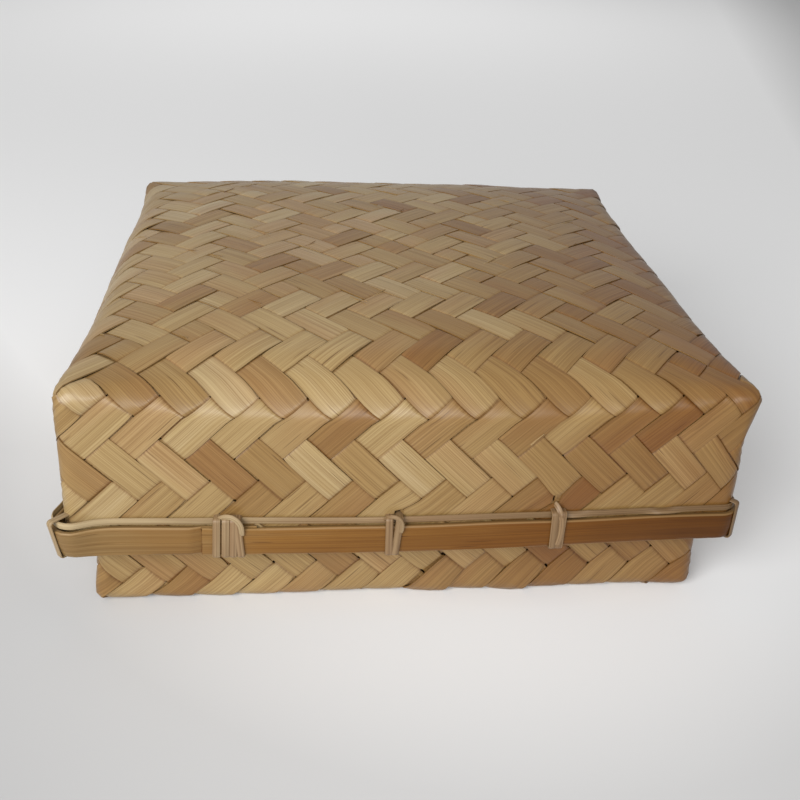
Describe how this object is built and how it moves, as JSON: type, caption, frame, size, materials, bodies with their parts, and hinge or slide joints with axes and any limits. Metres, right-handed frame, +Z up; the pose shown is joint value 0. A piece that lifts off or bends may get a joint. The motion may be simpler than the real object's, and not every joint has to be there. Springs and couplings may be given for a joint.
{
  "type": "woven bamboo box",
  "caption": "Square box of plaited bamboo strip with a deep lift-off lid; both rims are stiffened by bent slats lashed on with strands, and the base stands on its flat underside.",
  "frame": {"origin": "middle of the underside, on the surface that the box stands on", "axes": "+Z up, front of the box towards -Y, +X to the right seen from the front"},
  "size_m": [0.2632, 0.2632, 0.105],
  "materials": {
    "plaited_bamboo": "plaited strips of split bamboo, satin, bare",
    "bamboo_slat": "split bamboo culm, skin side out, satin, bare",
    "bamboo_strand": "flat strand split from bamboo skin, dull satin, bare"
  },
  "bodies": {
    "base": {"base_weave": "plaited_bamboo", "base_outer_slat": "bamboo_slat", "base_inner_slat": "bamboo_slat", "base_running_strand": "bamboo_strand", "base_lashing_front_1": "bamboo_strand", "base_lashing_front_2": "bamboo_strand", "base_lashing_front_3": "bamboo_strand", "base_lashing_front_left": "bamboo_strand", "base_lashing_left_1": "bamboo_strand", "base_lashing_left_2": "bamboo_strand", "base_lashing_left_3": "bamboo_strand", "base_lashing_back_left": "bamboo_strand", "base_lashing_back_1": "bamboo_strand", "base_lashing_back_2": "bamboo_strand", "base_lashing_back_3": "bamboo_strand", "base_lashing_back_right": "bamboo_strand", "base_lashing_right_1": "bamboo_strand", "base_lashing_right_2": "bamboo_strand", "base_lashing_right_3": "bamboo_strand", "base_lashing_front_right": "bamboo_strand"},
    "lid": {"lid_weave": "plaited_bamboo", "lid_outer_slat": "bamboo_slat", "lid_inner_slat": "bamboo_slat", "lid_running_strand": "bamboo_strand", "lid_lashing_front_1": "bamboo_strand", "lid_lashing_front_2": "bamboo_strand", "lid_lashing_front_3": "bamboo_strand", "lid_lashing_front_left": "bamboo_strand", "lid_lashing_left_1": "bamboo_strand", "lid_lashing_left_2": "bamboo_strand", "lid_lashing_left_3": "bamboo_strand", "lid_lashing_back_left": "bamboo_strand", "lid_lashing_back_1": "bamboo_strand", "lid_lashing_back_2": "bamboo_strand", "lid_lashing_back_3": "bamboo_strand", "lid_lashing_back_right": "bamboo_strand", "lid_lashing_right_1": "bamboo_strand", "lid_lashing_right_2": "bamboo_strand", "lid_lashing_right_3": "bamboo_strand", "lid_lashing_front_right": "bamboo_strand"}
  },
  "joints": [
    {"name": "lid_lift", "type": "slide", "parent": "base", "child": "lid", "axis": [0, 0, 1], "range_m": [0, 0.2]}
  ]
}
